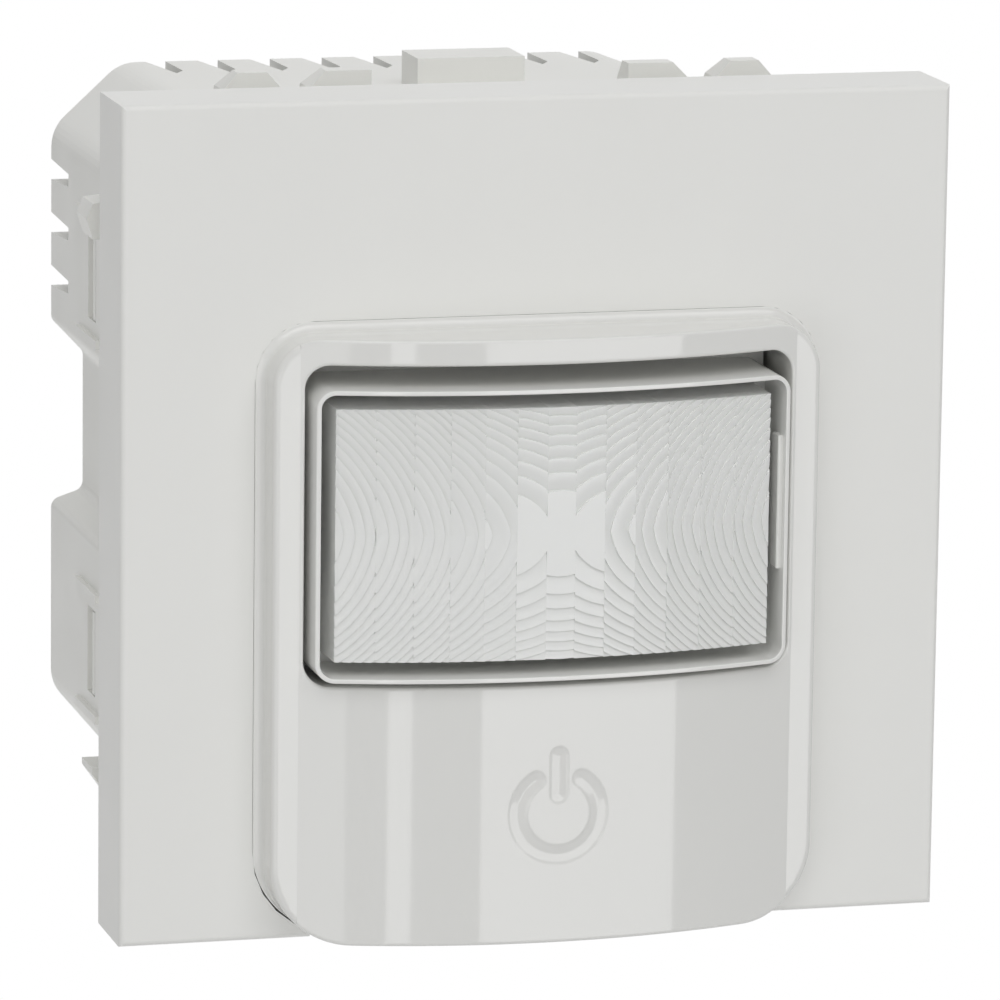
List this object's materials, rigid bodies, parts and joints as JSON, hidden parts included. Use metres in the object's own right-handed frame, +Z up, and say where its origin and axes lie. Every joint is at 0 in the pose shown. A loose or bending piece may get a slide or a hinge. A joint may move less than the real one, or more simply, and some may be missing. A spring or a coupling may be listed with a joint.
{
  "type": "motion sensor light switch",
  "caption": "Square flush wall insert with a segmented infrared lens framed in a bowed push button, a plain cover plate, and a comb-vented housing behind with clamp terminals.",
  "frame": {"origin": "middle of the plane of the cover plate's back rim, which bears on the wall frame", "axes": "+X to the right seen from the front, +Y into the wall, +Z up"},
  "size_m": [0.0456, 0.0347, 0.0454],
  "materials": {
    "white_gloss": "glossy white moulded polycarbonate",
    "lens_milky": "milky white polyethylene lens sheet",
    "white_satin": "satin white moulded plastic",
    "board": "green solder mask on glass fibre board",
    "nickel": "nickel plated steel",
    "filter": "dark infrared filter",
    "clear": "clear epoxy",
    "red": "red diffused epoxy",
    "black": "black moulded plastic",
    "ivory": "ivory moulded plastic",
    "blue": "blue moulded plastic",
    "orange": "orange moulded plastic",
    "brass": "plain brass",
    "yellow": "yellow capacitor case",
    "sleeve": "dark capacitor sleeve",
    "brown": "brown moulded plastic"
  },
  "bodies": {
    "switch": {"cover_plate": "white_gloss", "lens_collar": "white_gloss", "fresnel_lens": "lens_milky", "chassis": "white_satin", "rear_housing": "white_satin", "sensor_board": "board", "power_board": "board", "pir_can": "nickel", "board_screws": "nickel", "pir_window": "filter", "light_sensor": "clear", "status_led": "red", "controller_chip": "black", "tact_switch": "black", "pin_header": "black", "header_socket": "black", "relay": "black", "rectifier": "black", "choke": "black", "trimmer_bodies": "blue", "varistor": "blue", "header_pins": "brass", "terminal_tongues": "brass", "film_capacitor": "yellow", "smoothing_capacitor": "sleeve", "fuse": "brown"},
    "button": {"push_button": "white_gloss"},
    "plunger": {"tact_plunger": "ivory"},
    "time_knob": {"time_dial": "orange"},
    "lux_knob": {"lux_dial": "orange"},
    "screw_1": {"terminal_screw_1": "nickel"},
    "cage_1": {"clamp_cage_1": "nickel"},
    "screw_2": {"terminal_screw_2": "nickel"},
    "cage_2": {"clamp_cage_2": "nickel"},
    "screw_3": {"terminal_screw_3": "nickel"},
    "cage_3": {"clamp_cage_3": "nickel"},
    "screw_4": {"terminal_screw_4": "nickel"},
    "cage_4": {"clamp_cage_4": "nickel"}
  },
  "joints": [
    {"name": "button_press", "type": "hinge", "parent": "switch", "child": "button", "pos_m": [0, -0.0019, 0.00756], "axis": [1, 0, 0], "range_deg": [0, 1.2], "stiffness_Nm_per_rad": 0.6},
    {"name": "plunger_travel", "type": "slide", "parent": "switch", "child": "plunger", "axis": [0, 1, 0], "range_m": [0, 0.00045]},
    {"name": "time_turn", "type": "hinge", "parent": "switch", "child": "time_knob", "pos_m": [-0.009, -0.0025, 0.0156], "axis": [0, 1, 0], "range_deg": [-135, 135]},
    {"name": "lux_turn", "type": "hinge", "parent": "switch", "child": "lux_knob", "pos_m": [0.009, -0.0025, 0.0156], "axis": [0, 1, 0], "range_deg": [-135, 135]},
    {"name": "cage_1_travel", "type": "slide", "parent": "switch", "child": "cage_1", "axis": [0, 0, -1], "range_m": [0, 0.0018]},
    {"name": "screw_1_turn", "type": "hinge", "parent": "switch", "child": "screw_1", "pos_m": [-0.012, 0.01875, -0.018], "axis": [0, 0, 1], "range_deg": [-1, 1297]},
    {"name": "cage_2_travel", "type": "slide", "parent": "switch", "child": "cage_2", "axis": [0, 0, -1], "range_m": [0, 0.0018]},
    {"name": "screw_2_turn", "type": "hinge", "parent": "switch", "child": "screw_2", "pos_m": [-0.004, 0.01875, -0.018], "axis": [0, 0, 1], "range_deg": [-1, 1297]},
    {"name": "cage_3_travel", "type": "slide", "parent": "switch", "child": "cage_3", "axis": [0, 0, -1], "range_m": [0, 0.0018]},
    {"name": "screw_3_turn", "type": "hinge", "parent": "switch", "child": "screw_3", "pos_m": [0.004, 0.01875, -0.018], "axis": [0, 0, 1], "range_deg": [-1, 1297]},
    {"name": "cage_4_travel", "type": "slide", "parent": "switch", "child": "cage_4", "axis": [0, 0, -1], "range_m": [0, 0.0018]},
    {"name": "screw_4_turn", "type": "hinge", "parent": "switch", "child": "screw_4", "pos_m": [0.012, 0.01875, -0.018], "axis": [0, 0, 1], "range_deg": [-1, 1297]}
  ],
  "couplings": [
    {"joint": "plunger_travel", "follows": "button_press", "m_per_rad": 0.018621},
    {"joint": "screw_1_turn", "follows": "cage_1_travel", "rad_per_m": 12566},
    {"joint": "screw_2_turn", "follows": "cage_2_travel", "rad_per_m": 12566},
    {"joint": "screw_3_turn", "follows": "cage_3_travel", "rad_per_m": 12566},
    {"joint": "screw_4_turn", "follows": "cage_4_travel", "rad_per_m": 12566}
  ]
}
